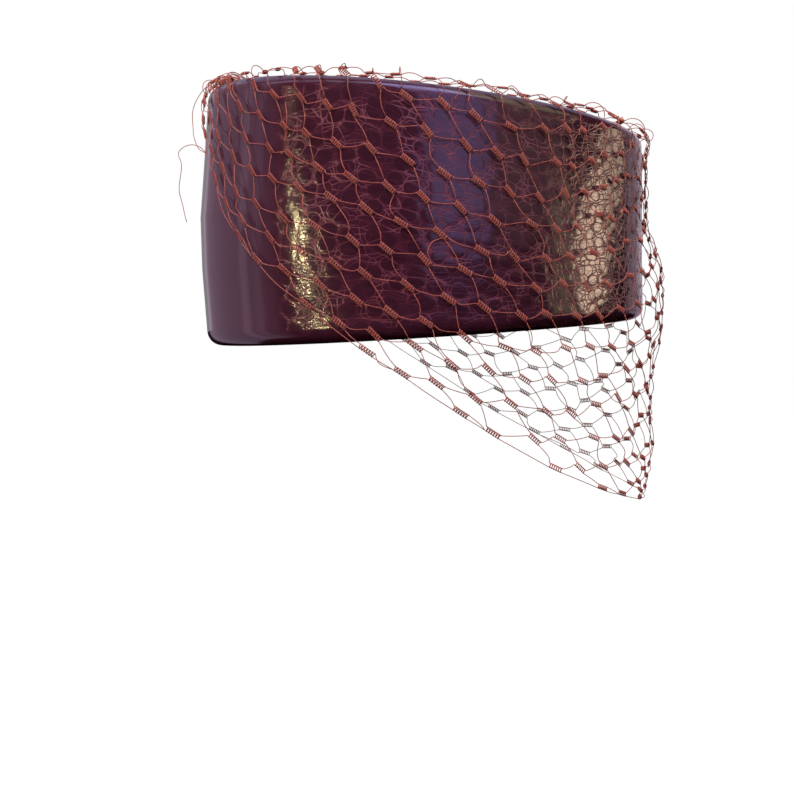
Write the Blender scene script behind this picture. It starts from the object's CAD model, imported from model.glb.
"""A tall pillbox hat in embossed patent leather with a coarse net veil.

Metres, +Z up, in the frame of the CAD: the origin is the centre of the base rim,
+X is the wearer's front and XZ is the mirror plane.
"""

import math

import bpy
import numpy as np
from mathutils import Matrix


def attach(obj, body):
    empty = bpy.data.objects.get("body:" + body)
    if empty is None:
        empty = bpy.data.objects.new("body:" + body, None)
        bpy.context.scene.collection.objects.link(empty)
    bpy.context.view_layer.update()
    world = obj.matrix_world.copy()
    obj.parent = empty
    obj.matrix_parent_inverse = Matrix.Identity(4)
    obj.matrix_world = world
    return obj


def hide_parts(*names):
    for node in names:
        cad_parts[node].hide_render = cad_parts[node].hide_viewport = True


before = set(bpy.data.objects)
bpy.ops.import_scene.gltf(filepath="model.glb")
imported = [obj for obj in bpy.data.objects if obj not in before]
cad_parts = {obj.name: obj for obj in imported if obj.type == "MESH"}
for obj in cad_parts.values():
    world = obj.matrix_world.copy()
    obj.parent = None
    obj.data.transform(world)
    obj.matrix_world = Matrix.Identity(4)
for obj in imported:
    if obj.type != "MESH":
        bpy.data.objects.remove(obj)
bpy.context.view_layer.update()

MM = 0.001
SEED = 11

# Crown sizes, the same as the solid's
BASE_LENGTH = 209 * MM
BASE_WIDTH = 176 * MM
MIDDLE_HEIGHT = 101.7 * MM
TOP_DROP = 36 * MM
EGG_SHARE = 0.05
WALL = 2.4 * MM
BASE_ROLL_RADIUS = 6 * MM
TOP_ROLL_RADIUS = 5 * MM
TOP_LIP_WIDTH = 8 * MM
TIP_DOME = 2.5 * MM
SEAM_GAP = 0.3 * MM
HALF_LENGTH = BASE_LENGTH / 2
WIDTH_SHARE = BASE_WIDTH / BASE_LENGTH
TOP_SLOPE = TOP_DROP / BASE_LENGTH

# Reach of the wall to the front and to the back at each share of the height,
# as shares of half the base length
WALL_UPS = [0.0, 0.3, 0.5, 0.7, 1.0]
WALL_FRONTS = [1.0, 1.005, 1.01, 1.018, 1.024]
WALL_BACKS = [1.0, 1.0, 0.989, 0.955, 0.907]

# Veil sizes. The two tables hold shares at equal steps: the hem's drop from the
# front to the back, and the stand-off from the top edge down. Both follow the
# photograph more closely than the solid does.
VEIL_FRONT_DROP = 168 * MM
VEIL_LAP = 14 * MM
VEIL_STAND_OFF = 9 * MM
VEIL_CLEARANCE = 0.8 * MM
VEIL_TUCK_SHARE = 0.05
VEIL_ROLL_RADIUS = TOP_ROLL_RADIUS + VEIL_CLEARANCE
VEIL_ROLL_HALF = VEIL_ROLL_RADIUS * math.pi / 4
HEM_SHARES = [1.0, 0.99, 0.945, 0.863, 0.726, 0.575, 0.405, 0.150, 0.02]
STAND_OFF_SHARES = [0, 0, 0.13, 0.83, 0.8, 0.45, 0.26, 0.36, -0.05]

# The real net, finer than the solid's. Its rows run a little steeper than the
# hem: a bar's right-hand neighbours lie one column on, a rise higher and a fall
# lower.
COLUMN_PITCH = 14.05 * MM
NEIGHBOUR_RISE = 5.9 * MM
NEIGHBOUR_FALL = 9.3 * MM
ROW_REPEAT = NEIGHBOUR_RISE + NEIGHBOUR_FALL
FIRST_COLUMN = 0.7 * MM
FIRST_ROW = 1.0 * MM
HEM_CLOSING = 8 * MM
HEM_CLOSING_REACH = 9 * MM
BAR_TILT = -0.12
KNOT_LENGTH = 6.9 * MM
KNOT_HALF_WIDTH = 1.05 * MM
KNOT_HALF_DEPTH = 0.42 * MM
KNOT_TURNS = 6
THREAD_RADIUS = 0.18 * MM
WINDING_RADIUS = 0.23 * MM
HEM_FLATTENING = 0.2
THREAD_POINTS = 9
THREAD_SIDES = 5
WINDING_POINTS_A_TURN = 6
RAIL_OFFSET = 0.8 * KNOT_HALF_WIDTH
BROKEN_SHARE = 0.012
LAP_END = VEIL_LAP - 1 * MM
THREAD_CLEARANCE = 0.3 * MM
MEAN_RADIUS = 95 * MM
COLUMN_STEP = 3 * MM
AZIMUTH_STEP = math.pi / 180

# How far the bars stray from their places. In front the net is crumpled and
# they stray further.
ALONG_SCATTER = 0.9 * MM
HEIGHT_SCATTER = 0.7 * MM
TILT_SCATTER = 0.11
CRUMPLED_END = math.radians(80)
CRUMPLED_FADE = math.radians(40)
CRUMPLED_GAIN = 0.8
BAR_LIFT = 0.5 * MM
LIFT_SCATTER = 0.9 * MM
EDGE_LIFT = 2.2 * MM
EDGE_LIFT_REACH = 12 * MM

# The bunched threads over the top edge at the back
GATHER_THREADS = 48
GATHER_POINTS = 15
GATHER_HALF_WIDTH = 26 * MM
GATHER_SHIFT = 24 * MM
GATHER_DRIFT = 5 * MM
GATHER_WAVE = 1.3 * MM

# Fineness of the leather and its relief
EMBOSSED_STEP = 0.9 * MM
SMOOTH_STEP = 2.6 * MM
WALL_STEP = 0.9 * MM
TIP_STEP = 1.3 * MM
RELIEF = 0.07 * MM
SCALE_LENGTH = 5.9 * MM
SCALE_HEIGHT = 5.2 * MM
SCALE_DISORDER = 0.75
EMBOSS_END = math.radians(124)
EMBOSS_FADE = math.radians(4)
FRONT_END = math.radians(78)
FRONT_FADE = math.radians(30)

# How large the scales are and how crinkled the hide is between them, at each
# angle from the wearer's front
SCALE_ANGLES = [0, 55, 105, 180]
SCALE_SIZES = [1.0, 1.0, 1.45, 1.45]
CRINKLE_ANGLES = [0, 20, 35, 50, 62, 75, 100, 108, 113, 124, 132, 180]
CRINKLE_SHARES = [0.2, 0.25, 0.3, 0.25, 0.1, 0.05, 0.1, 0.4, 1.0, 0.8, 0.0, 0.0]

# Colours, as linear red, green, blue and alpha
HIDE_DARK = (0.048, 0.010, 0.024, 1)
HIDE_LIGHT = (0.075, 0.018, 0.038, 1)
SCALE_COLOUR = (0.022, 0.006, 0.014, 1)
CREASE_COLOUR = (0.24, 0.040, 0.066, 1)
BACK_DARK = (0.025, 0.012, 0.014, 1)
BACK_LIGHT = (0.06, 0.03, 0.032, 1)
NET_DARK = (0.46, 0.086, 0.06, 1)
NET_LIGHT = (0.64, 0.155, 0.11, 1)
NET_STRAND = (0.25, 0.042, 0.036, 1)

# The camera, as fitted to the photograph's outline
CAMERA_PLACE = (-0.00386, -0.480, 0.01636)
CAMERA_YAW = -0.0240
CAMERA_PITCH = -0.0994
CAMERA_ROLL = -0.0622
CAMERA_LENS = 44.45
FLOOR_HEIGHT = -0.75
FLOOR_RADIUS = 8
FLOOR_CORNERS = 64
BACKDROP_HALF_WIDTH = 1.35
BACKDROP_DISTANCE = 1.5
BACKDROP_FOOT = -0.05
BACKDROP_TOP = 1.2
LIGHT_CENTRE_HEIGHT = 0.04

chance = np.random.default_rng(SEED)


def smooth_table(values, share):
    """Value of a table of equal steps at a share from 0 to 1, on a smooth curve."""
    values = np.asarray(values, float)
    last = len(values) - 1
    place = np.clip(share, 0, 1) * last
    index = np.minimum(np.floor(place).astype(int), last - 1)
    t = place - index
    before = values[np.maximum(index - 1, 0)]
    start = values[index]
    end = values[index + 1]
    after = values[np.minimum(index + 2, last)]
    start_slope = (end - before) / 2
    end_slope = (after - start) / 2
    rise = end - start
    bend = 3 * rise - 2 * start_slope - end_slope
    twist = start_slope + end_slope - 2 * rise
    return start + t * (start_slope + t * (bend + t * twist))


def plan_place(azimuth, up, inset):
    """Plan position at an azimuth, a share of the height and an inset from the wall."""
    front = HALF_LENGTH * np.interp(up, WALL_UPS, WALL_FRONTS)
    back = HALF_LENGTH * np.interp(up, WALL_UPS, WALL_BACKS)
    half = (front + back) / 2
    egg = 1 - EGG_SHARE * np.cos(azimuth)
    x = (front - back) / 2 + (half - inset) * np.cos(azimuth)
    y = (half * WIDTH_SHARE - inset) * np.sin(azimuth) * egg
    return x, y


def top_height(x):
    return MIDDLE_HEIGHT - TOP_SLOPE * x


def crown_point(azimuth, inset, profile_height):
    """Point of the crown from a profile drawn at the middle height."""
    up = profile_height / MIDDLE_HEIGHT
    x, y = plan_place(azimuth, up, inset)
    return np.stack([x, y, up * top_height(x)], axis=-1)


def hem_drop(azimuth):
    """How far the hem hangs below the top edge."""
    return VEIL_FRONT_DROP * smooth_table(HEM_SHARES, np.abs(azimuth) / math.pi)


def edge_rate(azimuth):
    """Length along the top edge for each radian of azimuth."""
    before = plan_place(azimuth - AZIMUTH_STEP, 1, 0)
    after = plan_place(azimuth + AZIMUTH_STEP, 1, 0)
    return np.hypot(after[0] - before[0], after[1] - before[1]) / (2 * AZIMUTH_STEP)


def hem_slope(azimuth):
    """Tangent of the hem's slope against the top edge."""
    fall = hem_drop(azimuth + AZIMUTH_STEP) - hem_drop(azimuth - AZIMUTH_STEP)
    return fall / (2 * AZIMUTH_STEP * edge_rate(azimuth))


def hem_lengths():
    """Azimuths from the front to the back, and the length of the hem up to each."""
    azimuths = np.linspace(0, math.pi, 1441)
    rate = edge_rate(azimuths) * np.hypot(1, hem_slope(azimuths))
    parts = (rate[1:] + rate[:-1]) / 2 * np.diff(azimuths)
    return azimuths, np.concatenate([[0], np.cumsum(parts)])


HEM_AZIMUTHS, HEM_LENGTHS = hem_lengths()
HALF_HEM = HEM_LENGTHS[-1]


def flat_place(along, height):
    """Azimuth and height above the top edge of a place on the flat net.

    The rows run along the hem and the columns square to them. The net is drawn
    together where it lies on the crown top.
    """
    along, height = np.broadcast_arrays(along, height)
    azimuth = np.sign(along) * np.interp(np.abs(along), HEM_LENGTHS, HEM_AZIMUTHS)
    left = np.array(height, float)
    while np.any(left > 0):
        step = np.clip(left, 0, COLUMN_STEP)
        slope = hem_slope(azimuth)
        azimuth = azimuth + step * slope / ((1 + slope**2) * edge_rate(azimuth))
        left = left - step
    raised = height - hem_drop(azimuth)
    return azimuth, raised / (1 + np.maximum(raised, 0) / (2 * VEIL_LAP))


def stand_off(azimuth, drop):
    """Stand-off of the veil from the wall, greatest in front of the face."""
    front = np.maximum(np.cos(azimuth), 0) ** 2
    return VEIL_STAND_OFF * front * smooth_table(STAND_OFF_SHARES, drop / VEIL_FRONT_DROP)


def veil_point(azimuth, drop, lift):
    """Point of the veil at an azimuth, a drop below the top edge and a lift."""
    azimuth, drop, lift = np.broadcast_arrays(azimuth, drop, lift)
    outward = VEIL_CLEARANCE + lift
    lap_x, lap_y = plan_place(azimuth, 1, TOP_ROLL_RADIUS - drop - VEIL_ROLL_HALF)
    lap = np.stack([lap_x, lap_y, top_height(lap_x) + outward], axis=-1)
    angle = math.pi / 4 - drop / VEIL_ROLL_RADIUS
    reach = TOP_ROLL_RADIUS + outward
    roll_x, roll_y = plan_place(azimuth, 1, TOP_ROLL_RADIUS - reach * np.cos(angle))
    roll_z = top_height(roll_x) - TOP_ROLL_RADIUS + reach * np.sin(angle)
    rolled = np.stack([roll_x, roll_y, roll_z], axis=-1)
    edge_x, _ = plan_place(azimuth, 1, 0)
    height = top_height(edge_x) - (TOP_ROLL_RADIUS + drop - VEIL_ROLL_HALF)
    tuck = VEIL_TUCK_SHARE * np.maximum(-height, 0)
    inset = tuck - outward - stand_off(azimuth, drop)
    wall_x, wall_y = plan_place(azimuth, height / top_height(edge_x), inset)
    wall = np.stack([wall_x, wall_y, height], axis=-1)
    on_lap = (drop <= -VEIL_ROLL_HALF)[..., None]
    on_roll = (drop < VEIL_ROLL_HALF)[..., None]
    return np.where(on_lap, lap, np.where(on_roll, rolled, wall))


def unit(vectors):
    return vectors / np.maximum(np.linalg.norm(vectors, axis=-1, keepdims=True), 1e-12)


def new_piece(name, points, faces, material):
    mesh = bpy.data.meshes.new(name)
    mesh.from_pydata(np.asarray(points, float).reshape(-1, 3).tolist(), [], faces)
    mesh.materials.append(material)
    mesh.validate()
    piece = bpy.data.objects.new(name, mesh)
    bpy.context.scene.collection.objects.link(piece)
    mesh.polygons.foreach_set("use_smooth", [True] * len(mesh.polygons))
    return piece


def tubes(paths, radius, sides, facing):
    """Closed round tubes along paths of equal length. Returns points and faces."""
    count, steps = paths.shape[:2]
    ahead = unit(np.gradient(paths, axis=1))
    across = unit(np.cross(ahead, facing))
    outward = unit(np.cross(across, ahead))
    turn = 2 * math.pi * np.arange(sides) / sides
    ring = (
        across[:, :, None, :] * np.cos(turn)[None, None, :, None]
        + outward[:, :, None, :] * np.sin(turn)[None, None, :, None]
    )
    points = paths[:, :, None, :] + np.asarray(radius).reshape(-1, 1, 1, 1) * ring
    start = (np.arange(count) * steps * sides)[:, None, None]
    row = (np.arange(steps - 1) * sides)[None, :, None]
    side = np.arange(sides)[None, None, :]
    after = (side + 1) % sides
    quads = np.stack(
        [start + row + side, start + row + after, start + row + sides + after,
         start + row + sides + side],
        axis=-1,
    )
    faces = quads.reshape(-1, 4).tolist()
    for tube in range(count):
        first = tube * steps * sides
        last = first + (steps - 1) * sides
        faces.append([first + sides - 1 - k for k in range(sides)])
        faces.append([last + k for k in range(sides)])
    return points.reshape(-1, 3), faces


def joined(parts):
    """One list of points and one of faces from several."""
    points, faces, offset = [], [], 0
    for part_points, part_faces in parts:
        points.append(part_points)
        faces.extend([[index + offset for index in face] for face in part_faces])
        offset += len(part_points)
    return np.concatenate(points), faces


# Node helpers


def add_node(tree, kind, inputs, **settings):
    made = tree.nodes.new(kind)
    for name, value in settings.items():
        setattr(made, name, value)
    for name, value in inputs.items():
        socket = made.inputs[name]
        if isinstance(value, bpy.types.NodeSocket):
            tree.links.new(value, socket)
        else:
            socket.default_value = value
    return made


def calculate(tree, operation, first, second=0.0, third=0.0):
    inputs = {0: first, 1: second, 2: third}
    return add_node(tree, "ShaderNodeMath", inputs, operation=operation).outputs[0]


def smooth_step(tree, value, start, end, low=0.0, high=1.0):
    inputs = {"Value": value, "From Min": start, "From Max": end, "To Min": low, "To Max": high}
    return add_node(
        tree, "ShaderNodeMapRange", inputs, interpolation_type="SMOOTHSTEP"
    ).outputs["Result"]


def stretch(tree, vector, scale, offset=(0, 0, 0)):
    inputs = {0: vector, 1: scale, 2: offset}
    return add_node(tree, "ShaderNodeVectorMath", inputs, operation="MULTIPLY_ADD").outputs[0]


def noise(tree, vector, scale, detail=2.0, roughness=0.5):
    inputs = {"Vector": vector, "Scale": scale, "Detail": detail, "Roughness": roughness}
    return add_node(tree, "ShaderNodeTexNoise", inputs)


def voronoi(tree, vector, feature, randomness):
    inputs = {"Vector": vector, "Scale": 1.0, "Randomness": randomness}
    return add_node(
        tree, "ShaderNodeTexVoronoi", inputs, feature=feature, voronoi_dimensions="2D"
    ).outputs["Distance"]


def mix_colours(tree, share, first, second):
    made = add_node(tree, "ShaderNodeMix", {0: share, 6: first, 7: second}, data_type="RGBA")
    return made.outputs[2]


def warped(tree, place, scale, noise_scale, amount):
    """The place in units of a pattern, pushed about a little."""
    shift = noise(tree, place, noise_scale).outputs["Color"]
    centred = stretch(tree, shift, (amount, amount, 0), (-amount / 2, -amount / 2, 0))
    scaled = stretch(tree, place, scale)
    return add_node(tree, "ShaderNodeVectorMath", {0: scaled, 1: centred}).outputs[0]


def scale_domes(tree, place):
    """Rounded scales: distance from each scale's middle, and from its border."""
    pattern = warped(tree, place, (1 / SCALE_LENGTH, 1 / SCALE_HEIGHT, 0), 55, 0.8)
    middle = voronoi(tree, pattern, "F1", SCALE_DISORDER)
    border = voronoi(tree, pattern, "DISTANCE_TO_EDGE", SCALE_DISORDER)
    return middle, border


def relief_modifier():
    """Geometry nodes that raise each scale of the hide by its dome."""
    tree = bpy.data.node_groups.new("hide_relief", "GeometryNodeTree")
    tree.interface.new_socket("Geometry", in_out="INPUT", socket_type="NodeSocketGeometry")
    tree.interface.new_socket("Geometry", in_out="OUTPUT", socket_type="NodeSocketGeometry")
    start = tree.nodes.new("NodeGroupInput")
    end = tree.nodes.new("NodeGroupOutput")
    place = add_node(
        tree, "GeometryNodeInputNamedAttribute", {"Name": "hide"}, data_type="FLOAT_VECTOR"
    ).outputs["Attribute"]
    strength = add_node(
        tree, "GeometryNodeInputNamedAttribute", {"Name": "emboss"}, data_type="FLOAT"
    ).outputs["Attribute"]
    middle, _ = scale_domes(tree, place)
    dome = smooth_step(tree, middle, 0.22, 0.52, 1.0, 0.0)
    raised = calculate(tree, "MULTIPLY", calculate(tree, "MULTIPLY", dome, strength), RELIEF)
    normal = add_node(tree, "GeometryNodeInputNormal", {}).outputs["Normal"]
    offset = add_node(
        tree, "ShaderNodeVectorMath", {0: normal, "Scale": raised}, operation="SCALE"
    ).outputs[0]
    moved = add_node(
        tree, "GeometryNodeSetPosition", {"Geometry": start.outputs[0], "Offset": offset}
    )
    tree.links.new(moved.outputs[0], end.inputs[0])
    return tree


def raise_scales(piece, tree):
    modifier = piece.modifiers.new("relief", "NODES")
    modifier.node_group = tree
    seen = piece.evaluated_get(bpy.context.evaluated_depsgraph_get())
    mesh = bpy.data.meshes.new_from_object(seen)
    piece.modifiers.clear()
    piece.data = mesh


def new_material(name):
    material = bpy.data.materials.new(name)
    material.use_nodes = True
    tree = material.node_tree
    return material, tree, tree.nodes["Principled BSDF"]


def point_value(tree, name):
    """A value that the mesh holds at each of its points."""
    settings = {"attribute_name": name, "attribute_type": "GEOMETRY"}
    return add_node(tree, "ShaderNodeAttribute", {}, **settings).outputs["Fac"]


def patent_leather(name):
    """Glossy leather with dark scales, reddish creases and a smooth part behind."""
    material, tree, shader = new_material(name)
    place = add_node(tree, "ShaderNodeUVMap", {}, uv_map="hide").outputs["UV"]
    strength = point_value(tree, "emboss")
    crinkled = point_value(tree, "crinkle")
    fronted = point_value(tree, "front")
    middle, border = scale_domes(tree, place)
    in_scale = smooth_step(tree, middle, 0.36, 0.46, 1.0, 0.0)
    ring = calculate(tree, "ABSOLUTE", calculate(tree, "SUBTRACT", middle, 0.43))
    ring_line = smooth_step(tree, ring, 0.01, 0.055, 1.0, 0.0)
    border_line = smooth_step(tree, border, 0.005, 0.05, 1.0, 0.0)
    wrinkle_place = warped(tree, place, (1 / (7.5 * MM), 1 / (2.1 * MM), 0), 90, 1.2)
    wrinkle = voronoi(tree, wrinkle_place, "DISTANCE_TO_EDGE", 1.0)
    wrinkle_line = smooth_step(tree, wrinkle, 0.01, 0.08, 1.0, 0.0)
    outside_scale = smooth_step(tree, in_scale, 0.0, 1.0, 1.0, 0.25)
    fine = calculate(tree, "MULTIPLY", wrinkle_line, outside_scale)
    rings = calculate(tree, "MULTIPLY", ring_line, smooth_step(tree, fronted, 0, 1, 0.4, 0.9))
    borders = calculate(tree, "MULTIPLY", border_line, smooth_step(tree, fronted, 0, 1, 0.6, 1.0))
    lines = calculate(tree, "MAXIMUM", calculate(tree, "MAXIMUM", rings, borders), fine)
    patchy = smooth_step(tree, noise(tree, place, 120).outputs["Fac"], 0.36, 0.62, 0.25, 1.0)
    patchy = calculate(tree, "MAXIMUM", patchy, calculate(tree, "MULTIPLY", fronted, 0.8))
    creases = calculate(tree, "MULTIPLY", calculate(tree, "MULTIPLY", lines, patchy), strength)

    cloud = noise(tree, place, 38, 3.0).outputs["Fac"]
    body = mix_colours(tree, cloud, HIDE_DARK, HIDE_LIGHT)
    scale_shade = calculate(tree, "MULTIPLY", in_scale, strength)
    shaded = calculate(tree, "MULTIPLY", scale_shade, 0.32)
    dark = mix_colours(tree, shaded, body, SCALE_COLOUR)
    reddened = calculate(tree, "MULTIPLY", creases, 0.85)
    colour = mix_colours(tree, reddened, dark, CREASE_COLOUR)
    tree.links.new(colour, shader.inputs["Base Color"])

    crinkle_place = warped(tree, place, (1 / (0.9 * MM), 1 / (0.75 * MM), 0), 500, 1.3)
    facets = voronoi(tree, crinkle_place, "F1", 1.0)
    foil = calculate(tree, "MULTIPLY", calculate(tree, "MULTIPLY", facets, 0.04), crinkled)
    groove = calculate(tree, "MULTIPLY", creases, -0.11)
    swell = noise(tree, stretch(tree, place, (45, 14, 0)), 1.0, 1.0).outputs["Fac"]
    height = calculate(tree, "MULTIPLY_ADD", swell, 0.5, calculate(tree, "ADD", foil, groove))
    bump = add_node(
        tree, "ShaderNodeBump", {"Height": height, "Strength": 1.0, "Distance": 0.6 * MM}
    ).outputs["Normal"]
    tree.links.new(bump, shader.inputs["Normal"])
    tree.links.new(bump, shader.inputs["Coat Normal"])
    rough = smooth_step(tree, creases, 0.0, 0.8, 0.14, 0.55)
    tree.links.new(rough, shader.inputs["Roughness"])
    shader.inputs["IOR"].default_value = 1.65
    shader.inputs["Coat Weight"].default_value = 0.15
    shader.inputs["Coat Roughness"].default_value = 0.04
    return material


def suede(name):
    """The matt inner face of the leather."""
    material, tree, shader = new_material(name)
    place = add_node(tree, "ShaderNodeUVMap", {}, uv_map="hide").outputs["UV"]
    nap = noise(tree, place, 900, 4.0, 0.7).outputs["Fac"]
    colour = mix_colours(tree, nap, BACK_DARK, BACK_LIGHT)
    tree.links.new(colour, shader.inputs["Base Color"])
    bump = add_node(
        tree, "ShaderNodeBump", {"Height": nap, "Strength": 0.6, "Distance": 0.3 * MM}
    ).outputs["Normal"]
    tree.links.new(bump, shader.inputs["Normal"])
    shader.inputs["Roughness"].default_value = 0.9
    shader.inputs["Sheen Weight"].default_value = 0.3
    return material


def netting(name):
    """Rust-red wound thread."""
    material, tree, shader = new_material(name)
    place = add_node(tree, "ShaderNodeTexCoord", {}).outputs["Object"]
    shade = noise(tree, place, 130, 3.0).outputs["Fac"]
    strand = noise(tree, place, 2600, 2.0).outputs["Fac"]
    broad = mix_colours(tree, shade, NET_DARK, NET_LIGHT)
    between = smooth_step(tree, strand, 0.3, 0.7, 0.0, 0.5)
    colour = mix_colours(tree, between, broad, NET_STRAND)
    tree.links.new(colour, shader.inputs["Base Color"])
    bump = add_node(
        tree, "ShaderNodeBump", {"Height": strand, "Strength": 0.5, "Distance": 0.15 * MM}
    ).outputs["Normal"]
    tree.links.new(bump, shader.inputs["Normal"])
    shader.inputs["Roughness"].default_value = 0.55
    shader.inputs["Sheen Weight"].default_value = 0.25
    return material


# The leather crown


def around_azimuths():
    """Azimuths round the crown, close together where the hide is embossed."""
    radius = (BASE_LENGTH + BASE_WIDTH) / 4
    fine_end = EMBOSS_END + EMBOSS_FADE
    fine = int(2 * fine_end * radius / EMBOSSED_STEP)
    coarse = int(2 * (math.pi - fine_end) * radius / SMOOTH_STEP)
    front = np.linspace(-fine_end, fine_end, fine, endpoint=False)
    back = np.linspace(fine_end, 2 * math.pi - fine_end, coarse, endpoint=False)
    return np.concatenate([front, back])


def roll_profile(centre_inset, centre_height, radius, start, end, steps):
    angles = np.linspace(math.radians(start), math.radians(end), steps + 1)
    return [(centre_inset - radius * math.cos(a), centre_height + radius * math.sin(a))
            for a in angles]


def band_profile():
    """The side band's section, outside then inside, and how many points are outside."""
    base, top = BASE_ROLL_RADIUS, TOP_ROLL_RADIUS
    top_centre = MIDDLE_HEIGHT - top
    rows = int((top_centre - base) / WALL_STEP)
    outside = roll_profile(base, base, base, -90, 0, 8)
    outside += [(0, h) for h in np.linspace(base, top_centre, rows)[1:-1]]
    outside += roll_profile(top, top_centre, top, 0, 90, 9)
    outside += [(x, MIDDLE_HEIGHT) for x in np.linspace(top, TOP_LIP_WIDTH, 4)[1:]]
    inside = roll_profile(base, base, base - WALL, -90, 0, 4)
    inside += [(WALL, h) for h in np.linspace(base, top_centre, 9)[1:-1]]
    inside += roll_profile(top, top_centre, top - WALL, 0, 90, 4)
    inside += [(TOP_LIP_WIDTH, MIDDLE_HEIGHT - WALL)]
    return np.array(outside + inside[::-1]), len(outside)


def emboss_strength(azimuth):
    """1 where the hide is embossed, 0 on the smooth part behind."""
    away = np.abs((azimuth + math.pi) % (2 * math.pi) - math.pi)
    share = np.clip((EMBOSS_END + EMBOSS_FADE - away) / (2 * EMBOSS_FADE), 0, 1)
    return share * share * (3 - 2 * share)


def developed_length(azimuth):
    """Length round the crown with the larger scales at the sides counted as one size."""
    radius = (BASE_LENGTH + BASE_WIDTH) / 4
    angles = np.linspace(0, 2 * math.pi, 721)
    away = np.degrees(np.minimum(angles, 2 * math.pi - angles))
    rate = radius / np.interp(away, SCALE_ANGLES, SCALE_SIZES)
    length = np.concatenate([[0], np.cumsum((rate[1:] + rate[:-1]) / 2 * np.diff(angles))])
    return np.sign(azimuth) * np.interp(np.abs(azimuth), angles, length)


def scale_size(azimuth):
    away = np.degrees(np.abs((azimuth + math.pi) % (2 * math.pi) - math.pi))
    return np.interp(away, SCALE_ANGLES, SCALE_SIZES)


def crinkle_strength(azimuth):
    away = np.degrees(np.abs((azimuth + math.pi) % (2 * math.pi) - math.pi))
    return np.interp(away, CRINKLE_ANGLES, CRINKLE_SHARES)


def front_share(azimuth):
    """How fully the scales are outlined, from 1 at the front to 0 at the sides."""
    away = np.abs((azimuth + math.pi) % (2 * math.pi) - math.pi)
    return np.clip((FRONT_END - away) / FRONT_FADE, 0, 1)


def set_point_values(mesh, name, values):
    attribute = mesh.attributes.new(name, "FLOAT", "POINT")
    attribute.data.foreach_set("value", np.asarray(values, np.float32).ravel())


def set_corner_places(mesh, places, name):
    """A UV map with a place for each corner of each face, in metres."""
    layer = mesh.uv_layers.new(name=name)
    layer.data.foreach_set("uv", np.asarray(places, np.float32).ravel())


def make_side_band(leather, back_leather):
    azimuths = around_azimuths()
    profile, outside_count = band_profile()
    count, rows = len(azimuths), len(profile)
    grid = crown_point(azimuths[:, None], profile[None, :, 0], profile[None, :, 1])
    columns = np.arange(count)
    points_at = columns[:, None] * rows + np.arange(rows)[None, :]
    next_column = np.roll(points_at, -1, axis=0)
    next_row = np.roll(points_at, -1, axis=1)
    corner = np.roll(next_column, -1, axis=1)
    quads = np.stack([points_at, next_column, corner, next_row], axis=-1)
    piece = new_piece("side_band_leather", grid, quads.reshape(-1, 4).tolist(), leather)
    mesh = piece.data
    mesh.materials.append(back_leather)

    azimuth_after = np.append(azimuths[1:], azimuths[0] + 2 * math.pi)
    step = np.linalg.norm(np.diff(grid, axis=1), axis=-1)
    run = np.concatenate([np.zeros((count, 1)), np.cumsum(step, axis=1)], axis=1)
    run_next = np.roll(run, -1, axis=0)
    closing = run[:, -1:] + np.linalg.norm(grid[:, :1] - grid[:, -1:], axis=-1)
    run_up = np.concatenate([run[:, 1:], closing], axis=1)
    run_up_next = np.roll(run_up, -1, axis=0)
    here, there = scale_size(azimuths)[:, None], scale_size(azimuth_after)[:, None]
    run, run_up = run / here, run_up / here
    run_next, run_up_next = run_next / there, run_up_next / there
    u = np.broadcast_to(developed_length(azimuths)[:, None], run.shape)
    u_next = np.broadcast_to(developed_length(azimuth_after)[:, None], run.shape)
    places = np.stack(
        [np.stack([u, run], -1), np.stack([u_next, run_next], -1),
         np.stack([u_next, run_up_next], -1), np.stack([u, run_up], -1)],
        axis=2,
    )
    set_corner_places(mesh, places, "hide")

    inner = np.zeros((count, rows), int)
    inner[:, outside_count:-1] = 1
    mesh.polygons.foreach_set("material_index", inner.ravel())
    strength = np.repeat(emboss_strength(azimuths)[:, None], rows, axis=1)
    edge = np.zeros(rows)
    edge[:outside_count] = 1
    heights = profile[:, 1]
    edge *= np.clip((heights - 2 * MM) / (7 * MM), 0, 1)
    edge *= np.clip((MIDDLE_HEIGHT - 2 * MM - heights) / (6 * MM), 0, 1)
    set_point_values(mesh, "emboss", strength * edge[None, :])
    set_point_values(mesh, "crinkle", crinkle_strength(azimuths)[:, None] * edge[None, :])
    set_point_values(mesh, "front", front_share(azimuths)[:, None] * edge[None, :])
    return piece


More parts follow.
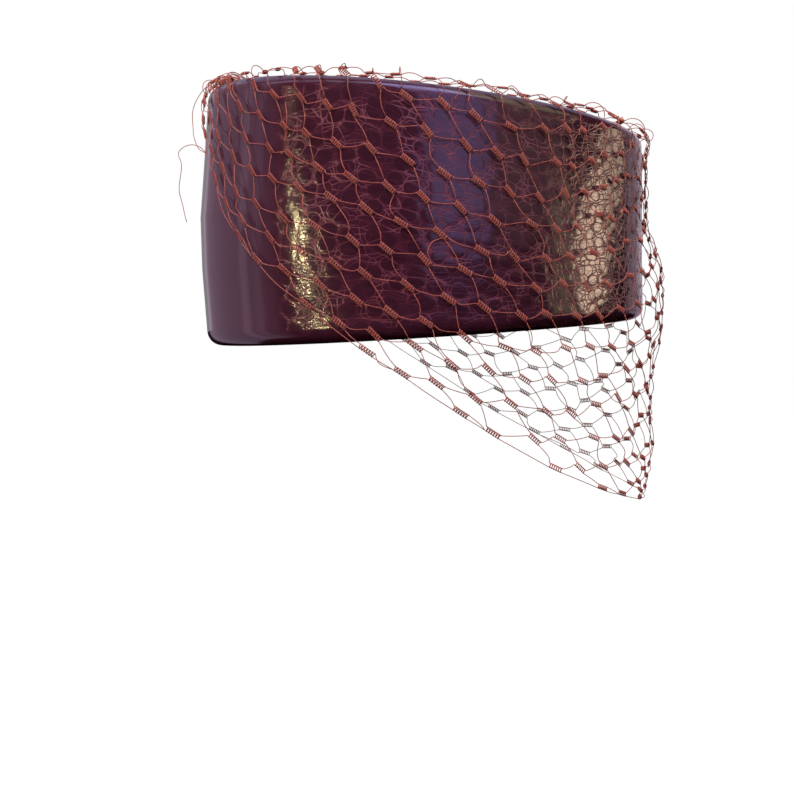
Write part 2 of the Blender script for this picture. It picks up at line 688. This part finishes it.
def make_tip(leather, back_leather):
    rim_inset = TOP_LIP_WIDTH + SEAM_GAP
    azimuths = np.linspace(0, 2 * math.pi, 420, endpoint=False)
    front, _ = plan_place(0, 1, 0)
    back, _ = plan_place(math.pi, 1, 0)
    centre = (front + back) / 2
    rings = int(HALF_LENGTH / TIP_STEP)
    shares = np.linspace(1, 0, rings + 1)[:-1]
    rim_x, rim_y = plan_place(azimuths, 1, rim_inset)
    x = centre + (rim_x[:, None] - centre) * shares[None, :]
    y = rim_y[:, None] * shares[None, :]
    dome = TIP_DOME * (1 - shares**2) ** 2
    upper = np.stack([x, y, top_height(x) + dome[None, :]], axis=-1)
    under_shares = np.linspace(0, 1, 13)[1:]
    under_x = centre + (rim_x[:, None] - centre) * under_shares[None, :]
    under_y = rim_y[:, None] * under_shares[None, :]
    under_dome = TIP_DOME * (1 - under_shares**2) ** 2 - WALL
    under = np.stack([under_x, under_y, top_height(under_x) + under_dome[None, :]], axis=-1)
    grid = np.concatenate([upper, under], axis=1)
    count, rows = grid.shape[:2]
    points_at = np.arange(count)[:, None] * rows + np.arange(rows)[None, :]
    next_column = np.roll(points_at, -1, axis=0)
    faces = []
    for column in range(count):
        here, there = points_at[column], next_column[column]
        for row in range(len(shares) - 1):
            faces.append([here[row], there[row], there[row + 1], here[row + 1]])
        for row in range(len(shares), rows - 1):
            faces.append([here[row], there[row], there[row + 1], here[row + 1]])
        faces.append([here[rows - 1], there[rows - 1], there[0], here[0]])
    top_middle = count * rows
    under_middle = top_middle + 1
    for column in range(count):
        here, there = points_at[column], next_column[column]
        last = len(shares) - 1
        faces.append([here[last], there[last], top_middle])
        faces.append([there[last + 1], here[last + 1], under_middle])
    z = top_height(centre) + TIP_DOME
    middles = np.array([[centre, 0, z], [centre, 0, z - WALL]])
    points = np.concatenate([grid.reshape(-1, 3), middles])
    faces = [[int(index) for index in face] for face in faces]
    piece = new_piece("tip_leather", points, faces, leather)
    mesh = piece.data
    mesh.materials.append(back_leather)
    loops = np.zeros(len(mesh.loops), int)
    mesh.loops.foreach_get("vertex_index", loops)
    set_corner_places(mesh, points[loops][:, :2] + [0, 0.4], "hide")
    under_points = np.zeros(len(points), bool)
    under_points[:-2] = np.tile(np.arange(rows) >= len(shares), count)
    under_points[-1] = True
    inner = [int(all(under_points[index] for index in face)) for face in faces]
    mesh.polygons.foreach_set("material_index", inner)
    strength = np.where(under_points, 0.0, 1.0)
    set_point_values(mesh, "emboss", strength)
    set_point_values(mesh, "crinkle", 0.2 * strength)
    return piece


# The net


def bar_height(column, row):
    """Height of a bar over the hem, and whether it lies in the hem, drawn together there."""
    free = column * NEIGHBOUR_RISE + row * ROW_REPEAT + FIRST_ROW
    height = free - HEM_CLOSING * (1 - np.exp(-free / HEM_CLOSING_REACH))
    in_hem = free < NEIGHBOUR_FALL
    return np.where(in_hem, height * HEM_FLATTENING, height), in_hem


def net_knots():
    """The number of each wound bar of the net, by its column and row."""
    knots = {}
    last_column = int(HALF_HEM / COLUMN_PITCH) + 1
    for column in range(-last_column, last_column + 1):
        along = column * COLUMN_PITCH + FIRST_COLUMN
        if abs(along) > HALF_HEM - KNOT_LENGTH:
            continue
        row = math.ceil(-(column * NEIGHBOUR_RISE + FIRST_ROW) / ROW_REPEAT)
        while flat_place(along, bar_height(column, row)[0])[1] < LAP_END:
            knots[(column, row)] = len(knots)
            row += 1
    return knots


def hem_pairs(knots):
    """Each bar of the hem with the next one along it."""
    in_hem = [index for (column, row), index in knots.items() if bar_height(column, row)[1]]
    return np.array(in_hem[:-1]), np.array(in_hem[1:])


def knot_layout(knots):
    """Both ends of every bar on the flat net, and the bars' lifts."""
    keys = np.array(list(knots))
    count = len(keys)
    along = keys[:, 0] * COLUMN_PITCH + FIRST_COLUMN
    height, in_hem = bar_height(keys[:, 0], keys[:, 1])
    rough_azimuth, raised = flat_place(along, height)
    crumpled = np.clip((CRUMPLED_END - np.abs(rough_azimuth)) / CRUMPLED_FADE, 0, 1)
    loose = 1 + CRUMPLED_GAIN * crumpled
    along = along + chance.normal(0, ALONG_SCATTER, count) * loose
    strayed = chance.normal(0, HEIGHT_SCATTER, count) * loose
    height = height + strayed * np.where(in_hem, HEM_FLATTENING, 1)
    tilt = np.where(in_hem, 0, BAR_TILT + chance.normal(0, TILT_SCATTER, count) * loose)
    ends = []
    for side in (-1, 1):
        end_along = along + side * KNOT_LENGTH / 2 * np.cos(tilt)
        end_height = np.maximum(height + side * KNOT_LENGTH / 2 * np.sin(tilt), 0)
        ends.append(flat_place(end_along, end_height))
    near_edge = np.clip(1 - np.abs(raised) / EDGE_LIFT_REACH, 0, 1)
    lift = BAR_LIFT + np.abs(chance.normal(0, LIFT_SCATTER, count))
    lift += near_edge * chance.uniform(0, EDGE_LIFT, count)
    return ends, lift


def place_bars(knots):
    """Ends and directions of every bar, in the order of the knots."""
    (left, right), lift = knot_layout(knots)
    start = veil_point(left[0], -left[1], lift)
    end = veil_point(right[0], -right[1], lift)
    azimuth, drop = (left[0] + right[0]) / 2, -(left[1] + right[1]) / 2
    outward = unit(veil_point(azimuth, drop, lift + 1 * MM) - veil_point(azimuth, drop, lift))
    ahead = unit(end - start)
    return {
        "left": left, "right": right, "lift": lift, "start": start, "end": end,
        "ahead": ahead, "outward": outward, "upward": unit(np.cross(outward, ahead)),
    }


def bar_parts(bars):
    """Two rails and a winding for every bar."""
    start, end = bars["start"], bars["end"]
    upward, outward, ahead = bars["upward"], bars["outward"], bars["ahead"]
    count = len(start)
    t = np.linspace(0, 1, 4)
    spine = start[:, None] + (end - start)[:, None] * t[None, :, None]
    parts = []
    for side in (-1, 1):
        rail = spine + side * RAIL_OFFSET * upward[:, None]
        parts.append(tubes(rail, np.full(count, THREAD_RADIUS), 4, outward[:, None]))
    t = np.linspace(0, 1, int(KNOT_TURNS * WINDING_POINTS_A_TURN) + 1)
    turn = 2 * math.pi * KNOT_TURNS * t
    spine = start[:, None] + (end - start)[:, None] * (0.04 + 0.92 * t)[None, :, None]
    loop = (
        KNOT_HALF_WIDTH * np.cos(turn)[None, :, None] * upward[:, None]
        + KNOT_HALF_DEPTH * np.sin(turn)[None, :, None] * outward[:, None]
    )
    facing = np.broadcast_to(ahead[:, None], loop.shape)
    parts.append(tubes(spine + loop, np.full(count, WINDING_RADIUS), 4, facing))
    return joined(parts)


def thread_between(flat_start, flat_end, lifts, corners, bow, arch):
    """A path from one bar to another over the surface, bowed and arched a little."""
    t = np.linspace(0, 1, THREAD_POINTS)[None, :]
    azimuth = flat_start[0][:, None] * (1 - t) + flat_end[0][:, None] * t
    raised = flat_start[1][:, None] * (1 - t) + flat_end[1][:, None] * t
    swell = np.sin(math.pi * t)
    lift = lifts[0][:, None] * (1 - t) + lifts[1][:, None] * t + arch[:, None] * swell
    raised = raised - np.abs(bow)[:, None] * 0.5 * swell
    azimuth = azimuth + (bow[:, None] * swell) / MEAN_RADIUS
    path = veil_point(azimuth, -raised, np.maximum(lift, THREAD_CLEARANCE))
    first = corners[0][:, None] - path[:, :1]
    last = corners[1][:, None] - path[:, -1:]
    return path + first * (1 - t)[..., None] + last * t[..., None]


def link(bars, a, b, corners, bow, arch):
    """Tubes from the right-hand ends of some bars to the left-hand ends of others."""
    flat_start = (bars["right"][0][a], bars["right"][1][a])
    flat_end = (bars["left"][0][b], bars["left"][1][b])
    lifts = (bars["lift"][a], bars["lift"][b])
    paths = thread_between(flat_start, flat_end, lifts, corners, bow, arch)
    facing = (bars["outward"][a] + bars["outward"][b])[:, None]
    return tubes(paths, np.full(len(a), THREAD_RADIUS), THREAD_SIDES, facing)


def net_threads(knots, bars):
    """Threads from each bar to its neighbours a rise higher and a fall lower."""
    pairs = []
    for (column, row), index in knots.items():
        for neighbour, step in (((column + 1, row), 1), ((column + 1, row - 1), -1)):
            if neighbour in knots:
                pairs.append((index, knots[neighbour], step))
    pairs = np.array(pairs)
    pairs = pairs[chance.random(len(pairs)) > BROKEN_SHARE]
    a, b, step = pairs[:, 0], pairs[:, 1], pairs[:, 2][:, None]
    count = len(a)
    corners = (
        bars["end"][a] + step * RAIL_OFFSET * bars["upward"][a],
        bars["start"][b] - step * RAIL_OFFSET * bars["upward"][b],
    )
    bow = chance.normal(0, 0.8 * MM, count)
    crossing = (bars["right"][1][a] * bars["left"][1][b] < 0).astype(float)
    arch = chance.uniform(-0.2, 1.2, count) * MM + crossing * chance.uniform(0, 3, count) * MM
    return link(bars, a, b, corners, bow, arch)


def hem_thread(knots, bars):
    """The second thread that runs from bar to bar along the hem."""
    a, b = hem_pairs(knots)
    count = len(a)
    corners = (
        bars["end"][a] - RAIL_OFFSET * bars["upward"][a],
        bars["start"][b] - RAIL_OFFSET * bars["upward"][b],
    )
    bow = chance.normal(0, 0.4 * MM, count)
    arch = chance.uniform(0, 0.8, count) * MM
    return link(bars, a, b, corners, bow, arch)


def lap_thread():
    """The drawing thread that holds the net's end down on the crown top."""
    azimuths = np.linspace(-math.pi, math.pi, 240)
    wave = 0.6 * MM * np.sin(azimuths * 70)
    path = veil_point(azimuths, -LAP_END + wave, THREAD_CLEARANCE)[None]
    return tubes(path, np.array([1.2 * THREAD_RADIUS]), THREAD_SIDES, np.array([0, 0, 1.0]))


def lap_ends(knots, bars):
    """Threads from the last bars on the crown top to the drawing thread."""
    t = np.linspace(0, 1, THREAD_POINTS)
    paths = []
    for (column, row), index in knots.items():
        for side, name, corner, neighbour in (
            (1, "right", "end", (column + 1, row)),
            (-1, "left", "start", (column - 1, row + 1)),
        ):
            azimuth, raised = bars[name][0][index], bars[name][1][index]
            if neighbour in knots or raised < 0:
                continue
            turned = azimuth + side * chance.uniform(0.01, 0.06) * t
            higher = raised * (1 - t) + LAP_END * t
            lift = bars["lift"][index] * (1 - t) + THREAD_CLEARANCE * t
            path = veil_point(turned, -higher, lift)
            shift = bars[corner][index] + RAIL_OFFSET * bars["upward"][index] - path[0]
            paths.append(path + shift[None] * (1 - t)[:, None])
    paths = np.array(paths)
    return tubes(paths, np.full(len(paths), THREAD_RADIUS), THREAD_SIDES, np.array([0, 0, 1.0]))


def loose_ends():
    """Cut threads: azimuth in degrees, drop and lift in millimetres along each one."""
    table = [
        [(-157, 30, 1), (-158, 27, 4), (-160, 26, 8), (-161, 29, 12), (-160, 35, 10.5),
         (-160, 45, 11), (-160, 52, 9), (-159, 60, 7)],
        [(-156, 2, 2), (-159, 5, 5), (-160, 11, 7), (-160, 18, 6.5), (-159, 23, 6),
         (-158, 28, 4), (-157, 30, 1)],
        [(-122, 12, 3), (-121, 17, 4), (-121, 22, 4), (-122, 27, 2.5)],
        [(-80, 5, 2), (-81, 2, 4), (-83, 3, 4.5), (-84, 6, 3)],
        [(-86, 60, 2), (-88, 62, 4), (-89, 66, 4.5), (-88, 71, 3)],
    ]
    parts = []
    for rows in table:
        values = np.array(rows, float)
        share = np.linspace(0, 1, 24)
        places = [smooth_table(values[:, k], share) for k in range(3)]
        path = veil_point(np.radians(places[0]), places[1] * MM, places[2] * MM)[None]
        bearing = np.radians(values[0, 0])
        outward = np.array([np.cos(bearing), np.sin(bearing), 0.3])
        parts.append(tubes(path, np.array([THREAD_RADIUS]), THREAD_SIDES, outward))
    return joined(parts)


def gather():
    """The bunched end of the net over the top edge at the back."""
    count = GATHER_THREADS
    t = np.linspace(0, 1, GATHER_POINTS)[None, :]
    first = GATHER_SHIFT + chance.uniform(-1, 1, (count, 1)) * GATHER_HALF_WIDTH
    last = first + chance.normal(0, GATHER_DRIFT, (count, 1))
    side = first * (1 - t) + last * t
    wave = chance.uniform(3, 12, (count, 1)) * t + chance.uniform(0, 6, (count, 1))
    side = side + GATHER_WAVE * np.sin(wave)
    low = chance.uniform(-3, 3, (count, 1)) * MM
    high = chance.uniform(5, 13, (count, 1)) * MM
    drop = low * (1 - t) - high * t
    swell = np.sin(math.pi * t) ** 0.7
    lift = 0.4 * MM + chance.uniform(0.2, 3.0, (count, 1)) * MM * swell
    paths = veil_point(math.pi + side / edge_rate(math.pi), drop, lift)
    radii = chance.uniform(0.8, 1.3, count) * THREAD_RADIUS
    return tubes(paths, radii, THREAD_SIDES, np.array([-1, 0, 1.0]))


def make_veil(material):
    """The net's wound bars as one piece, and its threads as another."""
    knots = net_knots()
    bars = place_bars(knots)
    bar_piece = new_piece("veil_knots", *bar_parts(bars), material)
    parts = [
        net_threads(knots, bars),
        hem_thread(knots, bars),
        lap_thread(),
        lap_ends(knots, bars),
        loose_ends(),
        gather(),
    ]
    return new_piece("veil_threads", *joined(parts), material), bar_piece


# The stage


def make_camera():
    data = bpy.data.cameras.new("camera")
    data.lens = CAMERA_LENS
    data.sensor_width = 36
    data.clip_start = 0.01
    camera = bpy.data.objects.new("camera", data)
    sin, cos = math.sin, math.cos
    forward = np.array([
        sin(CAMERA_YAW) * cos(CAMERA_PITCH),
        cos(CAMERA_YAW) * cos(CAMERA_PITCH),
        sin(CAMERA_PITCH),
    ])
    level = np.array([cos(CAMERA_YAW), -sin(CAMERA_YAW), 0])
    above = np.cross(level, forward)
    right = cos(CAMERA_ROLL) * level + sin(CAMERA_ROLL) * above
    up = -sin(CAMERA_ROLL) * level + cos(CAMERA_ROLL) * above
    matrix = np.eye(4)
    matrix[:3, 0] = right
    matrix[:3, 1] = up
    matrix[:3, 2] = -forward
    matrix[:3, 3] = CAMERA_PLACE
    camera.matrix_world = Matrix(matrix.tolist())
    bpy.context.scene.collection.objects.link(camera)
    bpy.context.scene.camera = camera


def add_light(name, azimuth, elevation, distance, width, height, radiance, colour, lean=0):
    """A soft box that faces the hat.

    Azimuth 0 lies beyond the hat from the camera, and 90 in front of the face.
    """
    data = bpy.data.lights.new(name, "AREA")
    data.shape = "RECTANGLE"
    data.size = width
    data.size_y = height
    data.energy = radiance * width * height * math.pi
    data.color = colour
    light = bpy.data.objects.new(name, data)
    bearing, climb, turn = math.radians(azimuth), math.radians(elevation), math.radians(lean)
    direction = np.array([
        math.sin(bearing) * math.cos(climb),
        math.cos(bearing) * math.cos(climb),
        math.sin(climb),
    ])
    level = np.array([math.cos(bearing), -math.sin(bearing), 0])
    above = np.cross(direction, level)
    matrix = np.eye(4)
    matrix[:3, 0] = math.cos(turn) * level + math.sin(turn) * above
    matrix[:3, 1] = math.cos(turn) * above - math.sin(turn) * level
    matrix[:3, 2] = direction
    matrix[:3, 3] = direction * distance + np.array([0, 0, LIGHT_CENTRE_HEIGHT])
    light.matrix_world = Matrix(matrix.tolist())
    light.visible_camera = False
    bpy.context.scene.collection.objects.link(light)
    return light


def pale_material(name, colour, glow):
    material, tree, shader = new_material(name)
    place = add_node(tree, "ShaderNodeTexCoord", {}).outputs["Object"]
    mottle = noise(tree, place, 3.0).outputs["Fac"]
    shade = mix_colours(tree, mottle, colour, tuple(0.98 * c for c in colour[:3]) + (1,))
    tree.links.new(shade, shader.inputs["Base Color"])
    shader.inputs["Roughness"].default_value = 0.8
    shader.inputs["Emission Color"].default_value = (1, 1, 1, 1)
    shader.inputs["Emission Strength"].default_value = glow
    return material


def make_stage():
    turn = 2 * math.pi * np.arange(FLOOR_CORNERS) / FLOOR_CORNERS
    x, y = FLOOR_RADIUS * np.cos(turn), FLOOR_RADIUS * np.sin(turn)
    rim = np.stack([x, y, np.full(FLOOR_CORNERS, FLOOR_HEIGHT)], -1)
    white = pale_material("paper", (0.7, 0.7, 0.7, 1), 0.99)
    floor = new_piece("floor", rim, [list(range(FLOOR_CORNERS))], white)
    floor.visible_glossy = False
    floor.visible_diffuse = False
    half, back = BACKDROP_HALF_WIDTH, BACKDROP_DISTANCE
    wall = np.array([
        [-half, back, BACKDROP_FOOT],
        [half, back, BACKDROP_FOOT],
        [half, back, BACKDROP_TOP],
        [-half, back, BACKDROP_TOP],
    ])
    grey = pale_material("card", (0.2, 0.21, 0.26, 1), 0.24)
    backdrop = new_piece("backdrop", wall, [[0, 1, 2, 3]], grey)
    backdrop.visible_camera = False
    backdrop.visible_shadow = False


def make_lights():
    gold, peach, mauve = (1.0, 0.82, 0.42), (1.0, 0.71, 0.50), (0.90, 0.68, 0.95)
    add_light("key_top", -120, 24, 1.3, 0.05, 0.05, 8, gold, 30)
    add_light("key_strip", -126.5, 11, 1.3, 0.012, 0.24, 62, gold, 30)
    add_light("key_core", -130, 3.8, 1.3, 0.026, 0.14, 100, gold, 38)
    add_light("key_low", -137, -6.6, 1.3, 0.13, 0.05, 42, gold)
    for light in (
        add_light("window_low", 96, 0.5, 1.3, 0.44, 0.24, 7.2, peach, 20),
        add_light("window_high", 78, 8, 1.3, 0.40, 0.26, 2.8, peach, 20),
        add_light("green_low", 114, 0, 1.4, 0.24, 0.4, 1.1, (0.66, 0.60, 0.36)),
        add_light("room_front", 129, 11, 1.5, 0.9, 0.5, 0.26, (1.0, 0.72, 0.66)),
        add_light("sky_strip", -165, 66, 1.5, 3.0, 0.36, 1.2, (0.68, 0.74, 1.0)),
        add_light("sky_back", 0, 62, 1.6, 3.0, 1.4, 0.7, (0.62, 0.68, 1.0)),
        add_light("sky_window", 160, 62, 1.5, 0.72, 0.9, 3.4, (0.44, 0.44, 1.0)),
        add_light("room_right", 38, 8, 1.6, 1.5, 1.4, 0.55, (0.95, 0.70, 0.90)),
    ):
        light.visible_diffuse = False
    add_light("blue_window", 160, 26, 1.5, 0.72, 1.3, 1.05, (0.50, 0.44, 1.0))
    add_light("green_bounce", 118, 45, 1.5, 1.0, 1.5, 1.3, (0.66, 0.70, 0.36))
    add_light("room_left", -64, 0, 1.6, 1.75, 3.0, 0.46, mauve)
    add_light("room_edge", -95, 0, 1.59, 0.50, 3.0, 0.36, mauve)
    add_light("room_fade", -105, 0, 1.58, 0.40, 3.0, 0.18, mauve)
    for light in (
        add_light("room_middle", -160, 40, 1.6, 1.2, 0.8, 6.2, (1.0, 0.95, 0.92)),
        add_light("room_back", 10, 30, 1.6, 1.6, 1.0, 2.2, (1.0, 0.97, 0.95)),
        add_light("overhead", 180, 85, 1.6, 1.6, 1.6, 2.6, (1.0, 0.98, 0.95)),
    ):
        light.visible_glossy = False
    world = bpy.data.worlds.new("world")
    world.use_nodes = True
    world.node_tree.nodes["Background"].inputs["Color"].default_value = (1, 1, 1, 1)
    world.node_tree.nodes["Background"].inputs["Strength"].default_value = 1.0
    world.cycles_visibility.diffuse = False
    world.cycles_visibility.glossy = False
    bpy.context.scene.world = world
    bpy.context.scene.view_settings.view_transform = "Standard"


make_camera()
leather = patent_leather("patent_leather")
back_leather = suede("leather_back")
net = netting("netting_thread")
relief = relief_modifier()

band = make_side_band(leather, back_leather)
raise_scales(band, relief)
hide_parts("side_band")
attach(band, "root")

tip = make_tip(leather, back_leather)
raise_scales(tip, relief)
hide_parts("tip")
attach(tip, "root")

veil, veil_knots = make_veil(net)
for piece in (veil, veil_knots):
    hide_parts("veil")
    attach(piece, "root")

make_stage()
make_lights()
